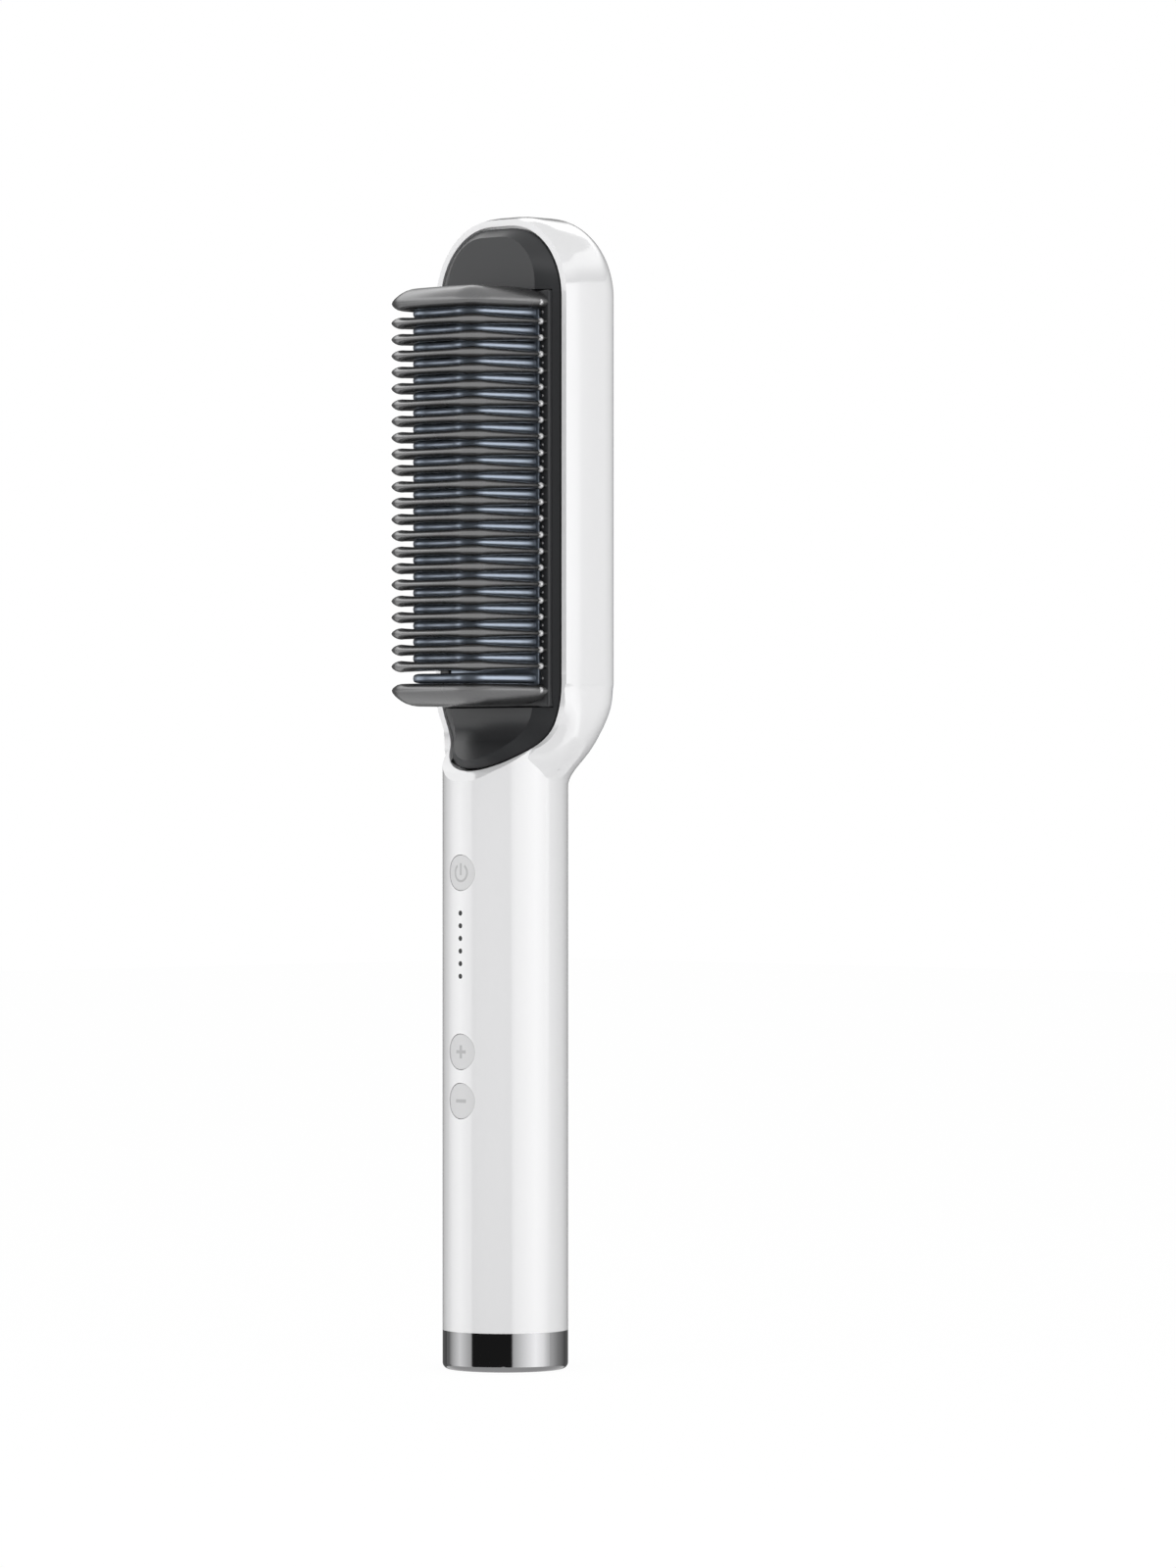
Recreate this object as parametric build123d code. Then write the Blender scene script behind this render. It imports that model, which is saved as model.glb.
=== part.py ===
"""Heated straightening comb: a round handle that opens into a long head with a ribbed, heated comb.

Frame: millimetres, +Z up along the handle, the part stands on its chrome end ring at Z = 0,
the comb looks along -Y and the origin is the centre of the base, on the handle's axis.
Depths called "forward" are measured from the handle's axis towards the comb, so forward = -Y,
and a depth behind the axis is a negative one.
"""
from build123d import *
import math
import os

# ---- handle ----------------------------------------------------------------------------------
handle_radius = 15.8
handle_wall = 2.15
ring_height = 9.8
ring_wall = 1.2
ring_lip = 2.4
ring_edge_round = 1.6
stop_drop = 10.9
stop_width = 1.1
stop_thickness = 1.6

# ---- head shell ------------------------------------------------------------------------------
head_half_width = 24.2
rim_half_width = 23.4
head_low_centre = 169.1
cavity_rise = 4.5
head_high_drop = 0.6
rim_forward = 1.7
head_depth = 19.0
head_back_round = 8.0
rim_taper_depth = 4.7
ledge_half_width = 20.4
head_back_wall = 3.8
cavity_back_round = 6.0
end_flat = 3.3
neck_root = 3.5
neck_drop = 24.1
neck_rise = 2.9
neck_sink = 0.4
neck_stations = 8
neck_roundness = 0.97
neck_flat = 0.3
neck_front = 5.0
neck_overrun = 1.0
neck_front_sink = 1.4

# ---- scooped throat between head and handle --------------------------------------------------
scoop_radius = 8.0
scoop_drop = 9.45
scoop_turn = 54.0
panel_scoop_drop = 8.15
panel_scoop_turn = 48.0
lip_forward = 13.2
lip_slope = 45.0
mouth_rise = 2.85
sill_drop = 25.45
sill_forward = 9.5

# ---- front cover -----------------------------------------------------------------------------
cover_gap = 0.7
mouth_wall = 1.65
cover_seat_depth = 2.0
panel_half_width = 15.5
panel_drop = 19.05
panel_high_rise = 3.3
panel_rise = 3.3
cover_hollow_half_width = 13.2
cover_hollow_depth = 3.0
border_overrun = 0.3
border_turn = 93.0
border_steps = 8

# ---- screws that hold the cover from behind --------------------------------------------------
boss_radius = 2.8
boss_spread = 7.0
boss_high_rise = 11.1
boss_low_drop = 11.35
boss_joint = 10.0
cover_screw_radius = 1.2
cover_screw_head_radius = 2.3
cover_screw_head = 1.5
cover_screw_grip = 7.0
screw_clearance = 0.15

# ---- comb guard ------------------------------------------------------------------------------
rib_count = 22
rib_pitch = 4.095
rib_rise = 4.45
low_cheek_pitch = 5.9
high_cheek_pitch = 3.705
cheek_thickness = 4.3
cheek_bevel = 6.5
rib_web = 1.4
rib_nose = 3.1
rib_tip = 0.7
rib_nose_depth = 3.6
rib_land = 0.3
rib_neck = 1.4
rib_crest = 28.2
rib_shoulder = 27.4
rib_shoulder_half_width = 15.8
rib_corner_round = 8.0
guard_half_width = 19.2
guard_gap = 0.15
rail_width = 3.0
rail_forward = 4.7
flange_width = 0.8
flange_thickness = 1.5

# ---- heater ----------------------------------------------------------------------------------
fin_thickness = 2.1
fin_recess = 4.1
fin_inset = 4.2
fin_dip = 1.6
fin_side_gap = 0.4
fin_corner_round = 6.6
fin_tip = 0.9
fin_bevel = 1.2
fin_plate_gap = 0.3
fin_plate_thickness = 3.0
heater_thickness = 2.0
heater_half_width = 10.0
heater_length = 72.0
clamp_thickness = 0.8
clamp_half_width = 13.0
clamp_overhang = 4.0
frame_thickness = 2.5
frame_edge_gap = 0.3
window_half_width = 7.0
window_length = 60.0
window_round = 2.0
fuse_radius = 1.6
fuse_length = 11.0
sensor_radius = 0.9
sensor_length = 7.0
sensor_gap = 0.35
sensor_round = 0.55
frame_screw_radius = 0.9
frame_screw_head_radius = 1.5
frame_screw_head = 1.1
frame_screw_grip = 4.0
frame_screw_spacing = 34.0

# ---- back trim -------------------------------------------------------------------------------
trim_outer_half_width = 22.7
trim_inner_half_width = 19.05
trim_low_rise = 0.2
trim_high_drop = 1.1
panel_seat_low_rise = 1.3
panel_seat_high_drop = 3.0
trim_seat_gap = 0.1
trim_thickness = 1.5
trim_wrap = 10.0
trim_gap = 0.7
back_panel_crown = 1.15

# ---- controls --------------------------------------------------------------------------------
power_drop = 15.2
plus_drop = 44.8
minus_drop = 57.1
button_radius = 4.4
button_gap = 0.15
button_travel = 0.6
button_sink = 0.15
button_flange = 0.8
button_flange_lap = 0.55
button_flange_gap = 0.1
bezel_wall = 0.45
bezel_depth = 12.4
stem_radius = 1.5
press_margin = 0.1
light_count = 6
light_drop = 25.9
light_pitch = 3.16
light_radius = 0.65
light_bar_half_width = 1.5
light_bar_forward = 13.3
light_bar_thickness = 1.4
light_gap = 0.2

# ---- electronics -----------------------------------------------------------------------------
board_front = 6.5
board_thickness = 1.6
board_half_width = 11.0
board_low = 50.0
switch_size = 6.0
switch_height = 3.0
plunger_radius = 1.6
plunger_height = 0.8
led_width = 1.6
led_height = 0.8
connector_half_width = 5.0
connector_depth = 5.0
connector_length = 7.0
capacitor_radius = 4.0
capacitor_length = 16.0
capacitor_low = 62.0
triac_width = 8.0
triac_depth = 4.0
triac_length = 10.0
triac_low = 104.0
wire_radius = 0.8
wire_spread = 2.5
wire_bend = 5.0
wire_gap = 0.35
lead_start = 12.0
lead_rise = 8.0
board_screw_radius = 0.9
board_screw_head_radius = 1.5
board_screw_head = 1.0
board_screw_grip = 5.0
board_screw_spread = 9.0

# ---- board carrier ---------------------------------------------------------------------------
carrier_gap = 0.1
carrier_slice = 4.0
carrier_slot_half_width = 7.0
carrier_slot_depth = 11.0
spine_half_width = 5.0
spine_thickness = 2.2
foot_window = 5.0
foot_side_wall = 2.0

# ---- cord end --------------------------------------------------------------------------------
cap_recess = 1.2
gland_clear = 0.4
cap_floor = 4.0
cap_insert = 10.0
cap_skirt = 1.6
cap_fit_gap = 0.05
hub_radius = 8.6
hub_height = 3.0
gland_radius = 5.5
gland_running_gap = 0.05
gland_end_gap = 0.1
gland_bore = 3.1
gland_height = 16.5
gland_neck_radius = 4.3
gland_flange_radius = 7.4
gland_flange_thickness = 1.5
clip_radius = 6.8
clip_thickness = 1.0
clip_inset = 0.3
clip_pocket_gap = 0.3
clip_split = 2.5
slip_ring_radius = 5.1
slip_ring_height = 1.4
slip_ring_low = 10.4
slip_ring_pitch = 2.8
brush_gap = 0.3
brush_thickness = 0.4
brush_width = 3.0
holder_half_width = 3.0
holder_thickness = 2.6
holder_gap = 0.3
cap_screw_radius = 1.25
cap_screw_head_radius = 2.1
cap_screw_head = 1.6
cap_screw_inset = 3.3

# ---- heights that follow -----------------------------------------------------------------------
mouth_low_centre = head_low_centre + mouth_rise
cavity_low_centre = head_low_centre + cavity_rise
neck_low = head_low_centre - neck_drop
neck_high = head_low_centre + neck_rise
neck_foot = neck_low - neck_root
scoop_start = mouth_low_centre - scoop_drop
panel_scoop_start = mouth_low_centre - panel_scoop_drop
sill_low = mouth_low_centre - sill_drop
rib_first = mouth_low_centre + rib_rise
low_cheek = rib_first - low_cheek_pitch
high_cheek = rib_first + (rib_count - 1) * rib_pitch + high_cheek_pitch
head_high_centre = high_cheek - head_high_drop
panel_bottom = mouth_low_centre - panel_drop
panel_high_centre = head_high_centre + panel_high_rise
boss_high = head_high_centre + boss_high_rise
boss_low = mouth_low_centre - boss_low_drop
trim_low_centre = head_low_centre + trim_low_rise
trim_high_centre = head_high_centre - trim_high_drop
panel_seat_low_centre = head_low_centre + panel_seat_low_rise
panel_seat_high_centre = head_high_centre - panel_seat_high_drop
guard_low = low_cheek - cheek_thickness
guard_high = high_cheek + cheek_thickness
heater_middle = (low_cheek + high_cheek) / 2
frame_window = (heater_middle - window_length / 2, heater_middle + window_length / 2)

# ---- other sizes that follow -------------------------------------------------------------------
bore_radius = handle_radius - handle_wall
mouth_half_width = rim_half_width - mouth_wall
cover_half_width = mouth_half_width - cover_gap
neck_narrowest = handle_radius - neck_sink
cover_bottom = mouth_low_centre - cover_half_width
stop_height = cover_bottom - stop_drop
power_height = stop_height - power_drop
plus_height = power_height - plus_drop
minus_height = power_height - minus_drop
light_first = power_height - light_drop
cover_back = rim_forward - cover_seat_depth
guard_back = cover_back - flange_thickness
heater_front = guard_back + clamp_thickness + heater_thickness
fin_root = heater_front + fin_plate_thickness
fin_plate_half_width = guard_half_width - rail_width - fin_side_gap
rib_root = fin_root + fin_plate_gap
frame_back = guard_back - frame_thickness
trim_front = trim_wrap - head_depth
cavity_back = -(head_depth - head_back_wall)
board_back = board_front - board_thickness
board_high = stop_height - carrier_gap
plunger_forward = board_front + switch_height + plunger_height
flange_front = bezel_depth - button_flange_gap
cap_top = ring_height + cap_insert
hub_top = cap_recess + cap_floor + hub_height
holder_inner = hub_radius + holder_gap
holder_top = gland_height - holder_gap
reach = 40.0


# ---- helpers ---------------------------------------------------------------------------------
def prism(sketch, back, front):
    """A sketch in X and Z, pulled from forward depth `back` to forward depth `front`."""
    return extrude(Plane.XZ.offset(back) * sketch, amount=front - back)


def upright_slot(half_width, low, high):
    """Stadium of two half circles about centres at heights low and high."""
    return Pos(0, (low + high) / 2) * SlotCenterToCenter(high - low, 2 * half_width, rotation=90)


def full_slot(half_width, low, high):
    """A stadium with slightly fuller ends: two round corners with a short flat between them."""
    length = high - low + 2 * half_width
    return Pos(0, (low + high) / 2) * RectangleRounded(2 * half_width, length, half_width - end_flat)


def full_slot_half_width(half_width, low, z):
    """Half width of that outline at height z, near its low end."""
    corner = half_width - end_flat
    drop = low - half_width + corner - z
    return end_flat + math.sqrt(max(corner**2 - max(drop, 0) ** 2, 0))


def mouth_outline(half_width):
    """Outline of the head's mouth, or of what lies in it: fuller above, a plain half circle below."""
    low = upright_slot(half_width, mouth_low_centre, heater_middle)
    return low + full_slot(half_width, heater_middle, head_high_centre)


def plate(half_width, low, high, back, front, x=0):
    """Block between two heights and two forward depths."""
    return prism(Pos(x, (low + high) / 2) * Rectangle(2 * half_width, high - low), back, front)


def pin(radius, back, front, x, z):
    """Round pin along Y."""
    return prism(Pos(x, z) * Circle(radius), back, front)


def rod(radius, low, high, x=0, y=0):
    """Round rod along Z."""
    return Pos(x, y, low) * Cylinder(radius, high - low, align=(Align.CENTER, Align.CENTER, Align.MIN))


def tube(outer, inner, low, high):
    """Round tube about the handle's axis."""
    return rod(outer, low, high) - rod(inner, low, high)


def scoop_line(shift, start, turn):
    """Middle and end of a scooped face's arc and a point far down its slope, as forward depth and height.

    The face falls straight down the head, `shift` in front of its rim, turns forward from height
    `start` through `turn` degrees and runs on straight.
    """

    def on_arc(angle):
        forward = rim_forward + shift + scoop_radius * (1 - math.cos(angle))
        return (forward, start - scoop_radius * math.sin(angle))

    angle = math.radians(turn)
    middle, end = on_arc(angle / 2), on_arc(angle)
    return middle, end, (end[0] + reach, end[1] - reach / math.tan(angle))


def scoop_forward(shift, start, turn, z):
    """Forward depth of such a face at height z."""
    drop = max(start - z, 0)
    angle = math.radians(turn)
    arc_drop = scoop_radius * math.sin(angle)
    on_arc = scoop_radius - math.sqrt(scoop_radius**2 - min(drop, arc_drop) ** 2)
    return rim_forward + shift + on_arc + max(drop - arc_drop, 0) * math.tan(angle)


def rim_scoop_forward(z):
    """Forward depth of the housing's scooped face, on which the cover's edge lies."""
    return scoop_forward(0, scoop_start, scoop_turn, z)


def behind_scoop(shift, start=scoop_start, turn=scoop_turn, lip=False):
    """Everything behind a scooped front face. With a lip it drops away from lip_forward on."""
    middle, end, far = scoop_line(shift, start, turn)
    top = head_high_centre + reach
    first = (rim_forward + shift, start)
    slope = [end, far]
    if lip:
        lip_height = end[1] - (lip_forward - end[0]) / math.tan(math.radians(turn))
        drop = (reach - lip_forward) * math.tan(math.radians(lip_slope))
        slope = [end, (lip_forward, lip_height), (reach, lip_height - drop)]
    below = (slope[-1][0], -reach)
    corners = [*slope, below, (-reach, -reach), (-reach, top), (first[0], top), first]
    outline = Polyline(*[(-forward, z) for forward, z in corners])
    outline += ThreePointArc(*[(-forward, z) for forward, z in (first, middle, end)])
    return extrude(make_face(Plane.YZ * outline), amount=reach, both=True)


# ---- head and handle shell -------------------------------------------------------------------
def neck_growth(z):
    """0 where the neck leaves the handle, 1 where it has become the head."""
    t = min(max((z - neck_low) / (neck_high - neck_low), 0), 1)
    return t * t * (3 - 2 * t)


def neck_depth(z):
    """Depth of the back at height z, behind the handle's axis."""
    return neck_narrowest + (head_depth - neck_narrowest) * neck_growth(z)


def head_section(front, forward, side, depth, corner, z, inset):
    """Level section of the head at height z. Its sides bulge from the rim's corner to the widest place.

    It runs on past the rim, and the scoop cuts it there.
    """
    widest = min(rim_taper_depth - rim_forward, depth - corner - neck_flat)
    wall = side - inset
    bend = (wall, (widest - forward) / 2)
    stretch = neck_overrun / (bend[1] + forward)
    rim = (front - inset - (wall - front + inset) * stretch, -forward - neck_overrun)
    right = Bezier(rim, bend, (wall, widest))
    left = Bezier(*[(-x, y) for x, y in (rim, bend, (wall, widest))])
    back = Polyline(right @ 1, (wall, depth - inset), (-wall, depth - inset), left @ 1)
    face = make_face(right + back + left + Line(left @ 0, right @ 0))
    return Pos(0, 0, z) * fillet(face.vertices().group_by(Axis.Y)[-1], corner - inset)


def neck_section(z, inset):
    """Section of the neck: its rim follows the scoop, its back is round like the handle or the head."""
    growth = neck_growth(z)
    side = max(full_slot_half_width(head_half_width, head_low_centre, z), neck_narrowest)
    depth = neck_depth(z)
    corner = neck_roundness * min(side, depth) * (1 - growth) + head_back_round * growth
    front = math.sqrt(max(rim_half_width**2 - max(mouth_low_centre - z, 0) ** 2, 0))
    ahead = rim_scoop_forward(z)
    forward = min(ahead, neck_front)
    front += (side - front) * (ahead - forward) / (ahead + rim_taper_depth)
    front = max(front, math.sqrt((handle_radius - neck_front_sink) ** 2 - forward**2))
    return head_section(min(front, side), forward, side, depth, corner, z, inset)


def head_block(inset=0.0):
    """Outer form of the head, `inset` inside its face: a full stadium that runs into the neck below."""
    corner_height = head_high_centre + end_flat
    size = (rim_half_width, rim_forward, head_half_width, head_depth, head_back_round)
    section = head_section(*size, neck_high, inset)
    block = extrude(section, amount=corner_height - neck_high)
    top = Pos(0, 0, corner_height - neck_high) * section
    half = top & (Pos(end_flat + reach / 2, 0, corner_height) * Rectangle(reach, 2 * reach))
    axis = Axis((end_flat, 0, corner_height), (0, 1, 0))
    turned = revolve(half, axis, -90)
    crown = extrude(half.rotate(axis, -90), amount=2 * end_flat, dir=(-1, 0, 0))
    block += [turned, mirror(turned, about=Plane.YZ), crown]
    step = (neck_high - neck_foot) / (neck_stations - 1)
    return block + loft([neck_section(neck_foot + i * step, inset) for i in range(neck_stations)])


def outer_body():
    """Handle and head joined by the neck and cut by the scoop."""
    handle = rod(handle_radius, ring_height, mouth_low_centre)
    return (handle + head_block()) & behind_scoop(0, lip=True)


def cover_bosses(back, front, radius):
    """Four posts along Y where the cover's screws run."""
    places = [(x, z) for x in (-boss_spread, boss_spread) for z in (boss_low, boss_high)]
    return Part() + [pin(radius, back, front, x, z) for x, z in places]


def screw_head_back():
    """Forward depth of the back of the cover screws' heads, flush with the recess at the low pair."""
    return trim_thickness - neck_depth(boss_low - cover_screw_head_radius)


def button_heights():
    return (power_height, plus_height, minus_height)


def light_heights():
    return [light_first + i * light_pitch for i in range(light_count)]


def main_housing():
    """White handle and head in one moulding, open at the front for the cover and at the base."""
    cavity = prism(full_slot(ledge_half_width, cavity_low_centre, head_high_centre), cavity_back, rim_forward)
    cavity = fillet(cavity.faces().sort_by(Axis.Y)[-1].edges(), cavity_back_round)
    pocket = prism(mouth_outline(mouth_half_width), cover_back, reach)
    recess_half_width = trim_outer_half_width + trim_seat_gap
    recess = prism(upright_slot(recess_half_width, trim_low_centre, trim_high_centre), -reach, trim_front)
    sill = plate(reach, sill_low, mouth_low_centre, sill_forward, reach)
    body = outer_body() - (rod(bore_radius, ring_height, mouth_low_centre) - sill) - cavity - pocket
    body -= recess - head_block(trim_thickness)
    body += tube(bore_radius, bore_radius - stop_width, stop_height, stop_height + stop_thickness)
    body += cover_bosses(cavity_back, -boss_joint, boss_radius + screw_clearance)
    body -= cover_bosses(-reach, -boss_joint, cover_screw_radius + screw_clearance)
    head_seat = screw_head_back() + cover_screw_head + screw_clearance
    body -= cover_bosses(-reach, head_seat, cover_screw_head_radius + screw_clearance)
    bezel_radius = button_radius + button_gap + bezel_wall
    for z in button_heights():
        body -= pin(bezel_radius, 0, handle_radius, 0, z)
    for z in light_heights():
        body -= pin(light_radius, 0, handle_radius, 0, z)
    return body


def throat_border(push):
    """Curve round the throat: 0 is the cover's edge, 1 the raised panel's edge, and others go past them."""
    points = []
    for i in range(-border_steps, border_steps + 1):
        angle = math.radians(border_turn) * i / border_steps
        edge_z = mouth_low_centre - cover_half_width * math.cos(angle)
        edge = Vector(cover_half_width * math.sin(angle), -rim_scoop_forward(edge_z), edge_z)
        panel_z = mouth_low_centre - (mouth_low_centre - panel_bottom) * math.cos(angle)
        ahead = scoop_forward(panel_rise, panel_scoop_start, panel_scoop_turn, panel_z)
        panel = Vector(panel_half_width * math.sin(angle), -ahead, panel_z)
        points.append(edge + (panel - edge) * push)
    return Spline(*points)


def cover_top():
    """Upper half of the cover, where its border slopes up to the raised panel's full end."""
    border = full_slot(cover_half_width, heater_middle, head_high_centre)
    panel = full_slot(panel_half_width, heater_middle, panel_high_centre)
    levels = [Plane.XZ.offset(rim_forward) * border, Plane.XZ.offset(rim_forward + panel_rise) * panel]
    top = loft(levels, ruled=True) + prism(border, cover_back, rim_forward)
    return top & plate(reach, heater_middle, head_high_centre + reach, cover_back, reach)


def cover_sides():
    """Straight stretch of the cover between its top and the throat."""
    right = [
        (cover_half_width, -cover_back),
        (cover_half_width, -rim_forward),
        (panel_half_width, -rim_forward - panel_rise),
    ]
    section = make_face(Polyline(*right, *[(-x, y) for x, y in reversed(right)], close=True))
    return extrude(Pos(0, 0, mouth_low_centre) * section, amount=heater_middle - mouth_low_centre)


def cover_throat():
    """Lower end of the cover, whose border and panel sweep forward behind the handle's lip."""
    throat = prism(mouth_outline(cover_half_width), cover_back, reach)
    throat &= plate(reach, 0, mouth_low_centre, cover_back, reach)
    throat &= behind_scoop(panel_rise, panel_scoop_start, panel_scoop_turn)
    border = Face.make_surface_from_curves(throat_border(-border_overrun), throat_border(1 + border_overrun))
    return throat - extrude(border, amount=reach, dir=(0, -1, 0))


def front_cover():
    """Dark front moulding: sloped border, raised panel and scooped throat round the comb's window."""
    cover = cover_top() + cover_sides() + cover_throat() - behind_scoop(-cover_seat_depth)
    opening_half_width = guard_half_width + guard_gap
    cover -= plate(opening_half_width, guard_low - guard_gap, guard_high + guard_gap, -reach, reach)
    hollow = upright_slot(cover_hollow_half_width, heater_middle, head_high_centre)
    cover -= prism(hollow, cover_back, cover_back + cover_hollow_depth)
    posts = cover_bosses(-boss_joint, rim_forward + panel_rise, boss_radius) & behind_scoop(0)
    cover += posts
    return cover - cover_bosses(-reach, cover_screw_grip - boss_joint, cover_screw_radius)


def cover_screws():
    """Four long screws from the back recess into the cover's posts."""
    head_seat = screw_head_back() + cover_screw_head
    shanks = cover_bosses(head_seat, cover_screw_grip - boss_joint, cover_screw_radius)
    return shanks + cover_bosses(screw_head_back(), head_seat, cover_screw_head_radius)


# ---- back trim -------------------------------------------------------------------------------
def trim_ring():
    """Metallic band that follows the head's rounded back edge."""
    outer = prism(upright_slot(trim_outer_half_width, trim_low_centre, trim_high_centre), -reach, trim_front)
    seat = upright_slot(trim_inner_half_width, panel_seat_low_centre, panel_seat_high_centre)
    inner = prism(seat, -reach, 0)
    return (head_block() - head_block(trim_thickness)) & (outer - inner)


def back_panel():
    """White crowned panel inside the trim ring."""
    half_width = trim_inner_half_width - trim_gap
    crown_radius = (half_width**2 + back_panel_crown**2) / (2 * back_panel_crown)
    proud = back_panel_crown / 2
    low, high = panel_seat_low_centre - half_width, panel_seat_high_centre + half_width
    panel = prism(upright_slot(half_width, panel_seat_low_centre, panel_seat_high_centre), -reach, trim_front)
    panel &= rod(crown_radius, low, high, 0, head_depth + proud - crown_radius)
    return panel & (head_block(-proud) - head_block(trim_thickness))


# ---- comb guard ------------------------------------------------------------------------------
def arch(half_width, root, shoulder_half_width, shoulder, crest, corner):
    """Closed arch in X and Y that stands forward of `root`, with rounded shoulders."""
    feet = [(half_width, -root), (-half_width, -root)]
    left, right = (-shoulder_half_width, -shoulder), (shoulder_half_width, -shoulder)
    outline = Polyline(right, *feet, left) + ThreePointArc(left, (0, -crest), right)
    face = make_face(outline)
    tops = face.vertices().group_by(Axis.Y)[0]
    return fillet(tops, corner)


def rib_face(inset=0.0):
    """Outline of a rib, or of what lies `inset` inside its edge."""
    return arch(
        guard_half_width - inset,
        rib_root,
        rib_shoulder_half_width - inset,
        rib_shoulder - inset,
        rib_crest - inset,
        rib_corner_round - inset / 2,
    )


def fin_face(inset=0.0):
    """Outline of a heating fin: it sits inside the ribs and its crest dips between the shoulders."""
    shoulder = rib_shoulder - fin_recess - inset
    return arch(
        guard_half_width - fin_recess - inset,
        fin_root,
        rib_shoulder_half_width - fin_inset - inset,
        shoulder,
        shoulder - fin_dip,
        fin_corner_round - inset / 2,
    )


def bevelled(outline, half_tip, half_thickness, bevel):
    """Half a plate above Z = 0 that thickens from half_tip at its rim to half_thickness inside."""
    rim = extrude(outline(), amount=half_tip)
    levels = [Pos(0, 0, half_tip) * outline(), Pos(0, 0, half_thickness) * outline(bevel)]
    return rim + loft(levels, ruled=True)


def rib_half():
    """Upper half of a rib: a thin web whose rim swells to a pointed nose."""
    land = rib_nose_depth + rib_land
    swollen = bevelled(rib_face, rib_tip / 2, rib_nose / 2, rib_nose_depth)
    pocket = [Pos(0, 0, rib_nose / 2) * rib_face(land), Pos(0, 0, rib_web / 2) * rib_face(land + rib_neck)]
    return swollen - loft(pocket, ruled=True)


def comb_guard():
    """Heat guard: a rectangular frame whose ribs and thick end cheeks arch over the fins."""
    upper = rib_half()
    lower = mirror(upper, about=Plane.XY)
    cheek = bevelled(rib_face, rib_tip / 2, cheek_thickness, cheek_bevel)
    rib = upper + lower
    blades = [Pos(0, 0, rib_first + i * rib_pitch) * rib for i in range(rib_count)]
    blades.append(Pos(0, 0, high_cheek) * (cheek + lower))
    blades.append(Pos(0, 0, low_cheek) * (mirror(cheek, about=Plane.XY) + upper))
    window_low, window_high = low_cheek + rib_web / 2, high_cheek - rib_web / 2
    window = plate(guard_half_width - rail_width, window_low, window_high, -reach, reach)
    rails = plate(guard_half_width, guard_low, guard_high, guard_back, rail_forward)
    flange_low, flange_high = guard_low - flange_width, guard_high + flange_width
    flange = plate(guard_half_width + flange_width, flange_low, flange_high, guard_back, cover_back)
    seat = full_slot(ledge_half_width - frame_edge_gap, cavity_low_centre, head_high_centre)
    low_part = (rails + flange) & prism(seat, guard_back, cover_back)
    frame = low_part + plate(guard_half_width, guard_low, guard_high, cover_back, rail_forward)
    guard = (frame - window) + blades
    return guard - frame_screw_pins(guard_back, guard_back + frame_screw_grip, frame_screw_radius)


# ---- heater ----------------------------------------------------------------------------------
def fin_heights():
    """Middle of each gap between neighbouring ribs, and between the end ribs and the cheeks."""
    ribs = [rib_first + i * rib_pitch for i in range(rib_count)]
    levels = [low_cheek, *ribs, high_cheek]
    return [(a + b) / 2 for a, b in zip(levels, levels[1:])]


def heating_fins():
    """Aluminium plate with one fin in each gap of the guard."""
    upper = bevelled(fin_face, fin_tip / 2, fin_thickness / 2, fin_bevel)
    fin = upper + mirror(upper, about=Plane.XY)
    low, high = low_cheek + rib_web / 2 + fin_side_gap, high_cheek - rib_web / 2 - fin_side_gap
    base = plate(fin_plate_half_width, low, high, heater_front, fin_root)
    return base + [Pos(0, 0, z) * fin for z in fin_heights()]


def ceramic_heater():
    """Flat heating element pressed on the back of the fin plate."""
    half = heater_length / 2
    back = heater_front - heater_thickness
    return plate(heater_half_width, heater_middle - half, heater_middle + half, back, heater_front)


def heater_clamp():
    """Spring-steel plate that spreads the frame's pressure over the heating element."""
    half = heater_length / 2 + clamp_overhang
    front = guard_back + clamp_thickness
    clamp = plate(clamp_half_width, heater_middle - half, heater_middle + half, guard_back, front)
    corners = clamp.edges().filter_by(Axis.Y)
    return fillet(corners, clamp_overhang / 2)


def frame_screw_pins(back, front, radius):
    """Round pins along Y at the four places where the inner frame is screwed to the guard's rails."""
    across = guard_half_width - rail_width / 2
    places = [(x, heater_middle + s * frame_screw_spacing) for x in (-across, across) for s in (-1, 1)]
    return Part() + [pin(radius, back, front, x, z) for x, z in places]


def inner_frame():
    """High-temperature plate behind the heater, with a window for the fuse, the sensor and the leads."""
    seat = full_slot(ledge_half_width - frame_edge_gap, cavity_low_centre, head_high_centre)
    half_width = guard_half_width + flange_width
    frame = plate(half_width, guard_low - flange_width, guard_high + flange_width, frame_back, guard_back)
    frame &= prism(seat, frame_back, guard_back)
    window = plate(window_half_width, *frame_window, -reach, reach)
    frame -= fillet(window.edges().filter_by(Axis.Y), window_round)
    return frame - frame_screw_pins(frame_back, guard_back, frame_screw_radius + screw_clearance)


def frame_screws():
    """Four screws from the inner frame into the guard's rails."""
    heads = frame_screw_pins(frame_back - frame_screw_head, frame_back, frame_screw_head_radius)
    return heads + frame_screw_pins(frame_back, guard_back + frame_screw_grip, frame_screw_radius)


def thermal_fuse():
    """One-shot fuse lying on the clamp inside the frame's window."""
    middle = frame_window[1] - fuse_length
    return rod(fuse_radius, middle - fuse_length / 2, middle + fuse_length / 2, 0, fuse_radius - guard_back)


def temperature_sensor():
    """Bead sensor lying on the clamp beside the fuse."""
    x = fuse_radius + 2 * sensor_radius + sensor_gap
    low = frame_window[1] - fuse_length - sensor_length / 2
    bead = rod(sensor_radius, low, low + sensor_length, x, sensor_radius - guard_back)
    return fillet(bead.edges(), sensor_round)


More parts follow.
